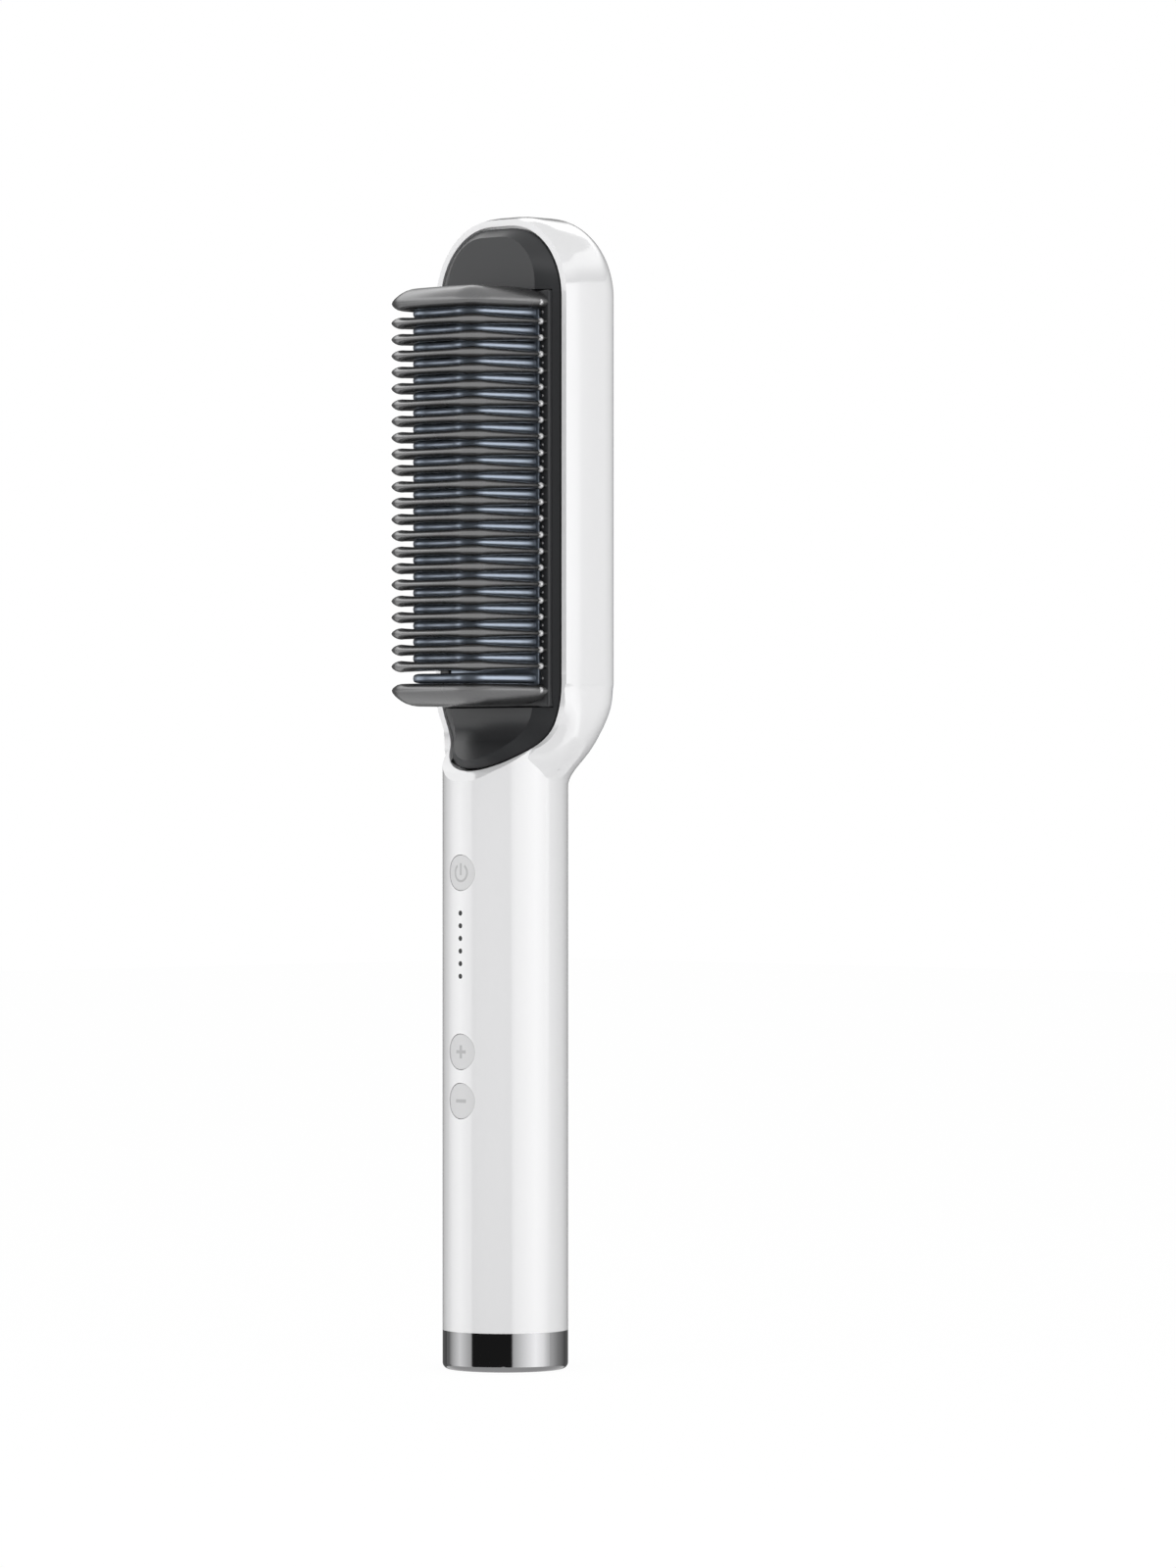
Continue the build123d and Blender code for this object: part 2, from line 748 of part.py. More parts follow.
# ---- controls --------------------------------------------------------------------------------
def skin(inset):
    """Solid core of the handle, `inset` inside its outer face."""
    return rod(handle_radius - inset, ring_height, sill_low)


def button_bezels():
    """Three thin rings set flush in the handle round the buttons."""
    inner = button_radius + button_gap
    outer = inner + bezel_wall
    size = (bezel_depth, reach, 0)
    rings = [pin(outer, *size, z) - pin(inner, *size, z) for z in button_heights()]
    return (Part() + rings) & skin(0)


def button(height):
    """Round push cap with a hidden flange and a short stem that meets its switch."""
    cap = pin(button_radius, flange_front - button_flange, reach, 0, height) & skin(button_sink)
    flange_radius = button_radius + button_gap + button_flange_lap
    cap += pin(flange_radius, flange_front - button_flange, flange_front, 0, height)
    stem_back = plunger_forward + button_travel + press_margin
    return cap + pin(stem_radius, stem_back, flange_front, 0, height)


def power_button():
    return button(power_height)


def plus_button():
    return button(plus_height)


def minus_button():
    return button(minus_height)


def tact_switches():
    """Three square switches with round plungers on the front of the board."""
    half = switch_size / 2
    front = board_front + switch_height
    bodies = [plate(half, z - half, z + half, board_front, front) for z in button_heights()]
    return Part() + bodies + [pin(plunger_radius, front, plunger_forward, 0, z) for z in button_heights()]


def status_lights():
    """Row of small lamps on the board, one under each light window."""
    half = led_width / 2
    lamps = [plate(half, z - half, z + half, board_front, board_front + led_height) for z in light_heights()]
    return Part() + lamps


def light_pipe():
    """Clear bar whose fingers fill the row of holes in the handle and reach back to the lamps."""
    back = light_bar_forward - light_bar_thickness
    low, high = light_heights()[0] - light_bar_half_width, light_heights()[-1] + light_bar_half_width
    pipe = plate(light_bar_half_width, low, high, back, light_bar_forward)
    tips = board_front + led_height + light_gap
    for z in light_heights():
        pipe += pin(light_radius, light_bar_forward, reach, 0, z) & skin(0)
        pipe += pin(led_width / 2, tips, back, 0, z)
    return pipe


# ---- electronics -----------------------------------------------------------------------------
def board_screw_pins(back, front, radius):
    """Round pins along Y where the board is screwed to the carrier's end walls."""
    heights = (board_low + carrier_slice / 2, board_high - carrier_slice / 2)
    places = [(x, z) for x in (-board_screw_spread, board_screw_spread) for z in heights]
    return Part() + [pin(radius, back, front, x, z) for x, z in places]


def control_board():
    board = plate(board_half_width, board_low, board_high, board_back, board_front)
    return board - board_screw_pins(board_back, board_front, board_screw_radius + screw_clearance)


def board_screws():
    heads = board_screw_pins(board_front, board_front + board_screw_head, board_screw_head_radius)
    return heads + board_screw_pins(board_front - board_screw_grip, board_front, board_screw_radius)


def board_carrier():
    """Spine with half-round walls that hold the board, and a foot that rests on the end cap."""
    radius = bore_radius - carrier_gap
    wall_lows = (board_low, (board_low + board_high - carrier_slice) / 2, board_high - carrier_slice)
    walls = Part() + [plate(radius, low, low + carrier_slice, -radius, board_back) for low in wall_lows]
    slot_back = board_back - carrier_slot_depth
    walls -= plate(carrier_slot_half_width, board_low, board_high, slot_back, board_back)
    foot = plate(radius, cap_top, cap_top + carrier_slice, -radius, radius)
    foot -= plate(radius - foot_side_wall, cap_top, cap_top + carrier_slice, -foot_window, foot_window)
    spine = plate(spine_half_width, cap_top, board_high, -radius, spine_thickness - radius)
    carrier = (walls + foot + spine) & rod(radius, cap_top, board_high)
    carrier -= board_screw_pins(board_front - board_screw_grip, board_front, board_screw_radius)
    return carrier - cap_screw_rods(cap_top, cap_top + carrier_slice, cap_screw_radius)


def power_parts():
    """Capacitor and switching part on the back of the board."""
    capacitor_high = capacitor_low + capacitor_length
    capacitor = rod(capacitor_radius, capacitor_low, capacitor_high, 0, capacitor_radius - board_back)
    triac = plate(triac_width / 2, triac_low, triac_low + triac_length, board_back - triac_depth, board_back)
    return capacitor + triac


def wire_connectors():
    """Two plugs on the back of the board, for the supply below and the heater above."""
    back = board_back - connector_depth
    low = plate(connector_half_width, board_low, board_low + connector_length, back, board_back)
    high = plate(connector_half_width, board_high - connector_length, board_high, back, board_back)
    return low + high


def wire(points):
    """Round lead along straight runs with large bends."""
    path = FilletPolyline(*points, radius=wire_bend)
    return sweep(Plane(path @ 0, z_dir=path % 0) * Circle(wire_radius), path)


def heater_leads():
    """Two leads from the clamp, out through the frame's window and down to the board."""
    on_clamp = wire_radius - guard_back
    behind_frame = wire_radius - frame_back + wire_gap
    in_plug = connector_depth / 2 - board_back
    leads = Part()
    for x in (-wire_spread, wire_spread):
        leads += wire(
            [
                (x, on_clamp, heater_middle),
                (x, on_clamp, heater_middle - lead_start),
                (x, behind_frame, frame_window[0]),
                (x, behind_frame, boss_low),
                (x, in_plug, stop_height + lead_rise),
                (x, in_plug, board_high),
            ]
        )
    return leads


# ---- cord end --------------------------------------------------------------------------------
def end_ring():
    """Chrome cup ring that the part stands on."""
    ring = tube(handle_radius, handle_radius - ring_wall, 0, ring_height)
    ring += tube(handle_radius, handle_radius - ring_lip, 0, cap_recess)
    outer = ring.faces().filter_by(GeomType.CYLINDER).sort_by(SortBy.RADIUS)[-1]
    return fillet(outer.edges().filter_by(GeomType.CIRCLE).sort_by(Axis.Z)[0], ring_edge_round)


def cap_screw_rods(low, high, radius):
    """Two round rods along Z where the cap's screws run, before and behind the gland."""
    place = handle_radius - ring_wall - cap_screw_inset - cap_screw_radius
    return rod(radius, low, high, 0, -place) + rod(radius, low, high, 0, place)


def end_cap():
    """Dark cap inside the ring: floor with a hub for the swivel and a skirt inside the handle."""
    skirt = bore_radius - cap_fit_gap
    floor_top = cap_recess + cap_floor
    cap = rod(handle_radius - ring_wall, cap_recess, ring_height) + rod(skirt, ring_height, cap_top)
    cap -= rod(skirt - cap_skirt, floor_top, cap_top)
    cap += rod(hub_radius, floor_top, hub_top)
    cap -= rod(gland_radius + gland_running_gap, cap_recess, hub_top)
    pocket_top = cap_recess + clip_inset + clip_thickness + gland_end_gap
    cap -= rod(clip_radius + clip_pocket_gap, cap_recess, pocket_top)
    cap -= cap_screw_rods(cap_recess, floor_top, cap_screw_radius + screw_clearance)
    head_radius = cap_screw_head_radius + screw_clearance
    return cap - cap_screw_rods(cap_recess, cap_recess + cap_screw_head, head_radius)


def cap_screws():
    """Two screws from below that pull the carrier's foot and the cap together."""
    heads = cap_screw_rods(cap_recess, cap_recess + cap_screw_head, cap_screw_head_radius)
    return heads + cap_screw_rods(cap_recess + cap_screw_head, cap_top + carrier_slice, cap_screw_radius)


def swivel_gland():
    """Turning sleeve that lets the cord in, flanged above the hub and grooved for a clip below."""
    flange_low = hub_top + gland_end_gap
    gland = rod(gland_radius, gland_clear, flange_low + gland_flange_thickness)
    gland += rod(gland_flange_radius, flange_low, flange_low + gland_flange_thickness)
    gland += rod(gland_neck_radius, flange_low + gland_flange_thickness, gland_height)
    return gland - rod(gland_bore, 0, gland_height)


def gland_clip():
    """Split ring round the gland that keeps it from being pushed in."""
    low = cap_recess + clip_inset
    clip = tube(clip_radius, gland_radius, low, low + clip_thickness)
    half_split = clip_split / 2
    return clip - plate(clip_radius / 2, low, low + clip_thickness, -half_split, half_split, clip_radius)


def slip_rings():
    """Two contact rings on the gland's neck."""
    half = slip_ring_height / 2
    levels = slip_ring_middles()
    return Part() + [tube(slip_ring_radius, gland_neck_radius, z - half, z + half) for z in levels]


def slip_ring_middles():
    return [slip_ring_low + i * slip_ring_pitch + slip_ring_height / 2 for i in range(2)]


def contact_holder():
    """Insulating post on the cap's floor, beside the gland's flange."""
    half = holder_thickness / 2
    floor = cap_recess + cap_floor
    return plate(half, floor, holder_top, -holder_half_width, holder_half_width, holder_inner + half)


def contact_leaves():
    """Two brass leaves that reach from the post to the slip rings."""
    half_length = (holder_inner - slip_ring_radius - brush_gap) / 2
    middle = slip_ring_radius + brush_gap + half_length
    half = brush_thickness / 2
    across = brush_width / 2
    levels = slip_ring_middles()
    return Part() + [plate(half_length, z - half, z + half, -across, across, middle) for z in levels]


def supply_leads():
    """Two leads from the contact post, through the carrier's foot and up to the board."""
    on_post = holder_inner + holder_thickness / 2
    in_plug = connector_depth / 2 - board_back
    leads = Part()
    for side in (-1, 1):
        y = side * holder_half_width / 2
        leads += wire(
            [
                (on_post, y, holder_top),
                (on_post, y, cap_top + 2 * carrier_slice),
                (side * wire_spread, in_plug, board_low - 2 * carrier_slice),
                (side * wire_spread, in_plug, board_low),
            ]
        )
    return leads


PIECES = {
    "main_housing": main_housing,
    "front_cover": front_cover,
    "cover_screws": cover_screws,
    "trim_ring": trim_ring,
    "back_panel": back_panel,
    "comb_guard": comb_guard,
    "heating_fins": heating_fins,
    "ceramic_heater": ceramic_heater,
    "heater_clamp": heater_clamp,
    "inner_frame": inner_frame,
    "frame_screws": frame_screws,
    "thermal_fuse": thermal_fuse,
    "temperature_sensor": temperature_sensor,
    "heater_leads": heater_leads,
    "button_bezels": button_bezels,
    "power_button": power_button,
    "plus_button": plus_button,
    "minus_button": minus_button,
    "tact_switches": tact_switches,
    "status_lights": status_lights,
    "light_pipe": light_pipe,
    "control_board": control_board,
    "board_screws": board_screws,
    "board_carrier": board_carrier,
    "power_parts": power_parts,
    "wire_connectors": wire_connectors,
    "end_ring": end_ring,
    "end_cap": end_cap,
    "cap_screws": cap_screws,
    "swivel_gland": swivel_gland,
    "gland_clip": gland_clip,
    "slip_rings": slip_rings,
    "contact_holder": contact_holder,
    "contact_leaves": contact_leaves,
    "supply_leads": supply_leads,
}

os.makedirs("parts", exist_ok=True)
for name, make in PIECES.items():
    export_step(make(), f"parts/{name}.step")
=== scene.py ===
"""Dressed model of a heated straightening comb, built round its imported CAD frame."""
import bmesh
import bpy
import math
from mathutils import Matrix, Vector


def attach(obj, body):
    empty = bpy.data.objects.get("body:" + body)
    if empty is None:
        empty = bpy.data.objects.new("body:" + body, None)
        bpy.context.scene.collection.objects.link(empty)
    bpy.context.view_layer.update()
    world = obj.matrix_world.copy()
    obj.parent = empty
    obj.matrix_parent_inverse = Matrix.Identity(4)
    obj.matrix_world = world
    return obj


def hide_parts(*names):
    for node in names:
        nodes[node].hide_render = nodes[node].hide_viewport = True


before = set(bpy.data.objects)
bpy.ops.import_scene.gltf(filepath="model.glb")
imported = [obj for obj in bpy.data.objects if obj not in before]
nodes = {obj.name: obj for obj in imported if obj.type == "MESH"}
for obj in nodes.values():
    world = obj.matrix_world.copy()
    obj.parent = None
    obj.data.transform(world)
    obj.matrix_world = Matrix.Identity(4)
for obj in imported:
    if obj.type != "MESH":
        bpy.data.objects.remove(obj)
for name in ("Cube", "Light", "Camera"):
    if name in bpy.data.objects:
        bpy.data.objects.remove(bpy.data.objects[name])
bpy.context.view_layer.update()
scene = bpy.context.scene

# ---- Camera ----------------------------------------------------------------------------------
# A long lens held level at half the comb's height, 1.8 m from the handle and 45 degrees round
# from the front of the ribs.
camera_turn = math.radians(44.81)
camera_distance = 1.8
camera_slide = 0.0208
camera_height = 0.147
camera_lens = 164.2
film_long_side = 36.0

away = Vector((-math.sin(camera_turn), math.cos(camera_turn), 0))
across = Vector((math.cos(camera_turn), math.sin(camera_turn), 0))
camera_data = bpy.data.cameras.new("camera")
camera_data.sensor_width = film_long_side
camera_data.lens = camera_lens
camera = bpy.data.objects.new("camera", camera_data)
camera.location = -away * camera_distance + across * camera_slide + Vector((0, 0, camera_height))
camera.rotation_euler = away.to_track_quat("-Z", "Y").to_euler()
scene.collection.objects.link(camera)
scene.camera = camera
scene.view_settings.view_transform = "Standard"

# ---- Room, floor and lamps -------------------------------------------------------------------
# A white room with a pale paper floor, which is lifted to white where it is looked at and still
# keeps the comb's shadow, and one broad square lamp on each side of the camera.
room_light = 0.7
floor_half_side = 3.0
floor_white = 0.9
floor_lift = 1.02
floor_lift_share = 0.93
lamp_reach = 1.1
lamp_side = 0.8


def new_material(name):
    """An empty node material, its tree and its output."""
    material = bpy.data.materials.new(name)
    material.use_nodes = True
    tree = material.node_tree
    tree.nodes.clear()
    return material, tree, tree.nodes.new("ShaderNodeOutputMaterial")


def worked_out(tree, operation, *terms):
    """The result of a Math node whose terms are sockets or plain numbers."""
    node = tree.nodes.new("ShaderNodeMath")
    node.operation = operation
    for socket, term in zip(node.inputs, terms):
        if isinstance(term, bpy.types.NodeSocket):
            tree.links.new(term, socket)
        else:
            socket.default_value = term
    return node.outputs[0]


def seen_directly(tree):
    """1 for rays that see the room itself: straight from the eye, or by gloss or glass."""
    rays = tree.nodes.new("ShaderNodeLightPath").outputs
    sight = worked_out(tree, "MAXIMUM", rays["Is Camera Ray"], rays["Is Glossy Ray"])
    return worked_out(tree, "MAXIMUM", sight, rays["Is Transmission Ray"])


def finished(shape):
    """The mesh of a bmesh, which it frees."""
    mesh = bpy.data.meshes.new("shape")
    shape.to_mesh(mesh)
    shape.free()
    return mesh


def mesh_object(name, mesh):
    """A linked object round a mesh, which takes its name."""
    mesh.name = name
    piece = bpy.data.objects.new(name, mesh)
    scene.collection.objects.link(piece)
    return piece


def lamp(name, turn, height, power):
    """A square lamp that looks at the comb's middle from `turn` degrees beside the camera."""
    data = bpy.data.lights.new(name, "AREA")
    data.size = lamp_side
    data.energy = power
    light = bpy.data.objects.new(name, data)
    side = math.radians(turn)
    place = (-away * math.cos(side) + across * math.sin(side)) * lamp_reach
    light.location = place + Vector((0, 0, height))
    aim = Vector((0, 0, camera_height)) - light.location
    light.rotation_euler = aim.to_track_quat("-Z", "Y").to_euler()
    light.visible_glossy = False
    light.visible_camera = False
    scene.collection.objects.link(light)


world = bpy.data.worlds.new("room")
world.use_nodes = True
scene.world = world
room = world.node_tree
backdrop = room.nodes["Background"]
backdrop.inputs["Color"].default_value = (1, 1, 1, 1)
strength = room.nodes.new("ShaderNodeMapRange")
strength.inputs["To Min"].default_value = room_light
strength.inputs["To Max"].default_value = 1.0
room.links.new(seen_directly(room), strength.inputs["Value"])
room.links.new(strength.outputs["Result"], backdrop.inputs["Strength"])

shape = bmesh.new()
bmesh.ops.create_grid(shape, x_segments=1, y_segments=1, size=floor_half_side)
floor = mesh_object("floor", finished(shape))
material, tree, output = new_material("floor")
paper = tree.nodes.new("ShaderNodeBsdfDiffuse")
paper.inputs["Color"].default_value = (floor_white, floor_white, floor_white, 1)
glow = tree.nodes.new("ShaderNodeEmission")
glow.inputs["Strength"].default_value = floor_lift
lit = tree.nodes.new("ShaderNodeMixShader")
share = worked_out(tree, "MULTIPLY", seen_directly(tree), floor_lift_share)
tree.links.new(share, lit.inputs["Fac"])
tree.links.new(paper.outputs[0], lit.inputs[1])
tree.links.new(glow.outputs[0], lit.inputs[2])
tree.links.new(lit.outputs[0], output.inputs["Surface"])
floor.data.materials.append(material)
floor.visible_glossy = False

lamp("left_lamp", turn=-50, height=0.5, power=2.3)
lamp("right_lamp", turn=40, height=0.4, power=2.1)

# ---- Reflector and hoop ----------------------------------------------------------------------
# Two round walls that only polished faces see. The reflector draws the bands on the handle and the
# end ring, and the hoop above it, which fades in upwards, lights the upper side of rounded edges.
wall_facets = 96
reflector_radius, reflector_low, reflector_high = 0.9, -0.3, 0.6
reflector_peak = 3.5
# Share of the peak at each turn from the camera's side, in degrees and positive to the right: dark
# round the camera, a bright screen on each side, and dark far behind.
reflector_levels = (
    (-125, 0.1), (-112, 0.36), (-91, 0.68), (-70, 0.42), (-65, 0.37), (-62, 0.01), (12, 0.01), (15, 0.4),
    (42, 0.8), (58, 1.0), (75, 0.8), (89, 0.42), (112, 0.2), (140, 0.05), (215, 0.05),
)
hoop_radius, hoop_low, hoop_full, hoop_high = 0.85, 0.55, 0.9, 1.05
hoop_dim, hoop_glow = 0.05, 2.3


def round_wall(name, radius, low, high):
    """An open round wall that only polished faces see: its node tree, and its emission to fill in."""
    shape = bmesh.new()
    bmesh.ops.create_cone(
        shape, cap_ends=False, segments=wall_facets, radius1=radius, radius2=radius, depth=high - low
    )
    bmesh.ops.translate(shape, vec=(0, 0, (high + low) / 2), verts=shape.verts)
    wall = mesh_object(name, finished(shape))
    material, tree, output = new_material(name)
    paint = tree.nodes.new("ShaderNodeEmission")
    tree.links.new(paint.outputs[0], output.inputs["Surface"])
    wall.data.materials.append(material)
    wall.visible_camera = False
    wall.visible_diffuse = False
    wall.visible_transmission = False
    wall.visible_shadow = False
    return tree, paint


tree, paint = round_wall("hoop", hoop_radius, hoop_low, hoop_high)
place = tree.nodes.new("ShaderNodeTexCoord")
height = tree.nodes.new("ShaderNodeSeparateXYZ")
fade = tree.nodes.new("ShaderNodeMapRange")
fade.interpolation_type = "SMOOTHSTEP"
fade.inputs["From Min"].default_value = hoop_low
fade.inputs["From Max"].default_value = hoop_full
fade.inputs["To Min"].default_value = hoop_dim
fade.inputs["To Max"].default_value = hoop_glow
tree.links.new(place.outputs["Object"], height.inputs["Vector"])
tree.links.new(height.outputs["Z"], fade.inputs["Value"])
tree.links.new(fade.outputs["Result"], paint.inputs["Strength"])

tree, paint = round_wall("reflector", reflector_radius, reflector_low, reflector_high)
paint.inputs["Strength"].default_value = reflector_peak
place = tree.nodes.new("ShaderNodeTexCoord")
turn = tree.nodes.new("ShaderNodeTexGradient")
turn.gradient_type = "RADIAL"
tree.links.new(place.outputs["Object"], turn.inputs["Vector"])
ramp = tree.nodes.new("ShaderNodeValToRGB")
tree.links.new(turn.outputs["Fac"], ramp.inputs["Fac"])
tree.links.new(ramp.outputs["Color"], paint.inputs["Color"])
camera_side = math.degrees(math.atan2(-away.y, -away.x))
stops = ramp.color_ramp.elements
ready_stops = len(stops)
for i, (side, level) in enumerate(reflector_levels):
    spot = (side + camera_side) / 360 + 0.5
    stop = stops[i] if i < ready_stops else stops.new(spot)
    stop.position = spot
    stop.color = (level, level, level, 1)

# ---- Main housing ----------------------------------------------------------------------------
# White glossy moulding of the handle and the head in one piece. Its mould is polished, so the
# face carries only the faint flow of the plastic.
shell_white = (0.86, 0.86, 0.868, 1)
shell_seam = math.radians(30)
merge_reach = 1e-6
flow_scale = 60.0
grain_detail = 3.0
moulded_relief = 0.00002
coat_roughness = 0.03


def face_group(name, settings):
    """A node group that makes a roughness and a height from its settings, and its two ends."""
    group = bpy.data.node_groups.new(name, "ShaderNodeTree")
    for setting, value in settings.items():
        socket = group.interface.new_socket(name=setting, in_out="INPUT", socket_type="NodeSocketFloat")
        socket.default_value = value
    for result in ("Roughness", "Height"):
        group.interface.new_socket(name=result, in_out="OUTPUT", socket_type="NodeSocketFloat")
    given = group.nodes.new("NodeGroupInput").outputs
    return group, given, group.nodes.new("NodeGroupOutput").inputs


def moulded_group():
    """Fine unevenness of a moulded face: how rough it is from place to place, and its height."""
    settings = {"Grain Scale": 900.0, "Grain": 0.3, "Roughness": 0.3, "Spread": 0.05}
    group, given, made = face_group("moulded face", settings)
    place = group.nodes.new("ShaderNodeTexCoord")
    flow = group.nodes.new("ShaderNodeTexNoise")
    flow.inputs["Scale"].default_value = flow_scale
    grain = group.nodes.new("ShaderNodeTexNoise")
    grain.inputs["Detail"].default_value = grain_detail
    group.links.new(place.outputs["Object"], flow.inputs["Vector"])
    group.links.new(place.outputs["Object"], grain.inputs["Vector"])
    group.links.new(given["Grain Scale"], grain.inputs["Scale"])
    centred = worked_out(group, "SUBTRACT", flow.outputs["Fac"], 0.5)
    roughness = worked_out(group, "MULTIPLY_ADD", centred, given["Spread"], given["Roughness"])
    height = worked_out(group, "MULTIPLY", grain.outputs["Fac"], given["Grain"])
    group.links.new(roughness, made["Roughness"])
    group.links.new(height, made["Height"])
    return group


def skinned(name, colour, face, relief, settings):
    """A material whose roughness and normal come from a face group, and its Principled shader."""
    material, tree, output = new_material(name)
    skin = tree.nodes.new("ShaderNodeBsdfPrincipled")
    skin.inputs["Base Color"].default_value = colour
    surface = tree.nodes.new("ShaderNodeGroup")
    surface.node_tree = face
    for setting, value in settings.items():
        surface.inputs[setting].default_value = value
    bump = tree.nodes.new("ShaderNodeBump")
    bump.inputs["Distance"].default_value = relief
    tree.links.new(surface.outputs["Roughness"], skin.inputs["Roughness"])
    tree.links.new(surface.outputs["Height"], bump.inputs["Height"])
    tree.links.new(bump.outputs["Normal"], skin.inputs["Normal"])
    tree.links.new(skin.outputs[0], output.inputs["Surface"])
    return material, skin


moulded_face = moulded_group()


def moulded(
    name, colour, roughness, spread=0.05, grain=0.3, grain_scale=900.0, metallic=0.0, coat=0.0, shine=0.5
):
    """Moulded plastic or plated metal: one colour, its gloss broken up by the moulded face."""
    settings = {"Grain Scale": grain_scale, "Grain": grain, "Roughness": roughness, "Spread": spread}
    material, skin = skinned(name, colour, moulded_face, moulded_relief, settings)
    skin.inputs["Metallic"].default_value = metallic
    skin.inputs["Specular IOR Level"].default_value = shine
    skin.inputs["Coat Weight"].default_value = coat
    skin.inputs["Coat Roughness"].default_value = coat_roughness
    return material


def dress(node, material):
    """Gives a CAD node its finished material."""
    nodes[node].material_slots[0].material = material


def evened(node, seam):
    """A merged copy of a CAD node whose gloss runs on over edges that turn by less than `seam`."""
    source = nodes[node].data
    sheen = [corner.vector.copy() for corner in source.corner_normals]
    shape = bmesh.new()
    shape.from_mesh(source)
    bmesh.ops.remove_doubles(shape, verts=shape.verts, dist=merge_reach)
    mesh = finished(shape)
    mesh.shade_smooth()
    meeting, least = {}, math.cos(seam)
    for loop in mesh.loops:
        meeting.setdefault(loop.vertex_index, []).append(sheen[loop.index])
    even = []
    for loop in mesh.loops:
        near = [other for other in meeting[loop.vertex_index] if other.dot(sheen[loop.index]) > least]
        even.append(sum(near, Vector()).normalized())
    mesh.normals_split_custom_set(even)
    return mesh


shell = mesh_object("shell", evened("main_housing", shell_seam))
shell.data.materials.append(
    moulded("shell white", shell_white, roughness=0.12, spread=0.03, grain=0.1, coat=0.6)
)
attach(shell, "comb_body")
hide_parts("main_housing")

# ---- Front cover -----------------------------------------------------------------------------
# Satin graphite moulding that frames the comb and runs down into the scooped throat. Four long
# screws from the back of the head hold it in the head's mouth.
cover_graphite = (0.032, 0.033, 0.035, 1)
dress("front_cover", moulded(
    "cover graphite", cover_graphite, roughness=0.33, spread=0.06, grain=0.5, grain_scale=1400.0, shine=0.3
))

# ---- Comb guard ------------------------------------------------------------------------------
# Moulded in heat-resistant graphite plastic: a frame that seats behind the cover, with 22 rounded
# ribs and two thick end cheeks that arch over the hot fins and keep them off the scalp.
mm = 0.001
rib_graphite = (0.21, 0.21, 0.212, 1)
# Painted shade: the end cheeks are the same graphite as the ribs, painted darker so that their broad faces
# read shaded.
shaded_cheek_graphite = (0.16, 0.16, 0.162, 1)
# Painted highlight: the toes are the ribs' graphite painted a lighter grey so each rib's foot shows a
# bright glint; their lower roughness adds a real one too.
toe_glint_grey = (0.5, 0.5, 0.505, 1)
rib_finish, frame_finish, toe_glint_finish, shaded_cheek_finish = range(4)
crisp_edge, square_edge = math.radians(40), math.radians(60)
edge_facets = 3

# The frame, in millimetres.
guard_half_width = 19.2
guard_low, guard_high = 166.2, 270.4
guard_back, rail_forward, rail_width = -1.8, 3.9, 3.0
frame_edge = 0.45

# The arches, and each side's steps from the rim inwards, as depth and half thickness.
rib_count, rib_first, rib_pitch = 22, 176.4, 4.095
low_cheek, high_cheek = 170.4, 267.2
arch_root, arch_crest = 2.6, 28.18
rib_shoulder, rib_shoulder_half_width, rib_corner = 27.4, 15.8, 5.3
cheek_shoulder, cheek_shoulder_half_width, cheek_corner = 27.7, 16.1, 6.6
corner_facets = 8
crown_cuts, flank_cuts = 7, 1
level_reach = 1e-7
rib_side = (
    (0.2, 0.28), (0.5, 0.5), (1.0, 0.76), (1.7, 0.98), (2.5, 1.1), (3.1, 1.06), (3.6, 0.88), (4.1, 0.68),
)
inner_side = ((0.25, 0.5), (0.7, 0.95), (1.4, 1.4), (2.3, 1.65), (3.2, 1.7), (3.9, 1.4), (4.4, 0.9))
outer_side = (
    (0.2, 0.6), (0.7, 1.25), (1.4, 1.9), (2.4, 2.65), (3.6, 3.3), (5.0, 3.75), (6.2, 3.95), (7.0, 4.0),
)

# A rib's share of its thickness at the foot, and its swell round a point inside the shoulder.
rib_foot_share = 0.8
rib_swell, rib_swell_reach = 0.38, 5.0
swell_inside, swell_below = 1.5, 2.5

# The round toes at the feet, sunk in by a share of their radius, and the pips between them, which
# sit at a share of the side rails' width.
toe_radius, toe_forward, toe_sunk = 0.85, 5.6, 0.75
pip_radius, pip_rise, pip_place = 0.5, 0.45, 0.7
ball_facets, ball_rings = 12, 8


def add_copy(shape, mesh, place, finish=0):
    """Adds a mesh to a bmesh, moved by `place` in millimetres, with its faces in one material slot."""
    first_vert, first_face = len(shape.verts), len(shape.faces)
    shape.from_mesh(mesh)
    bmesh.ops.translate(shape, vec=Vector(place) * mm, verts=shape.verts[first_vert:])
    for face in shape.faces[first_face:]:
        face.material_index = finish


def arch(half_width, root, shoulder_half_width, shoulder, crest, corner):
    """A flat arch as one face in X and Y, its shoulders rounded and its crown slightly bowed."""
    shape = bmesh.new()
    outline = (
        (half_width, -root), (-half_width, -root),
        (-shoulder_half_width, -shoulder), (shoulder_half_width, -shoulder),
    )
    rim = [shape.verts.new((x * mm, y * mm, 0)) for x, y in outline]
    shape.faces.new(rim)
    bmesh.ops.bevel(
        shape, geom=rim[2:], offset=corner * mm, offset_type="OFFSET", affect="VERTICES",
        segments=corner_facets, profile=0.5, material=-1,
    )
    crown = min(shape.edges, key=lambda edge: edge.verts[0].co.y + edge.verts[1].co.y)
    half_crown = crown.calc_length() / 2
    flanks = sorted(shape.edges, key=lambda edge: -abs(edge.verts[0].co.y - edge.verts[1].co.y))[:2]
    bmesh.ops.bisect_edges(shape, edges=[crown], cuts=crown_cuts)
    bmesh.ops.bisect_edges(shape, edges=flanks, cuts=flank_cuts)
    for vert in shape.verts:
        if vert.co.y < -shoulder * mm + level_reach:
            vert.co.y -= (crest - shoulder) * mm * (1 - (vert.co.x / half_crown) ** 2)
    bmesh.ops.recalc_face_normals(shape, faces=shape.faces)
    if shape.faces[:][0].normal.z < 0:
        bmesh.ops.reverse_faces(shape, faces=shape.faces)
    return shape


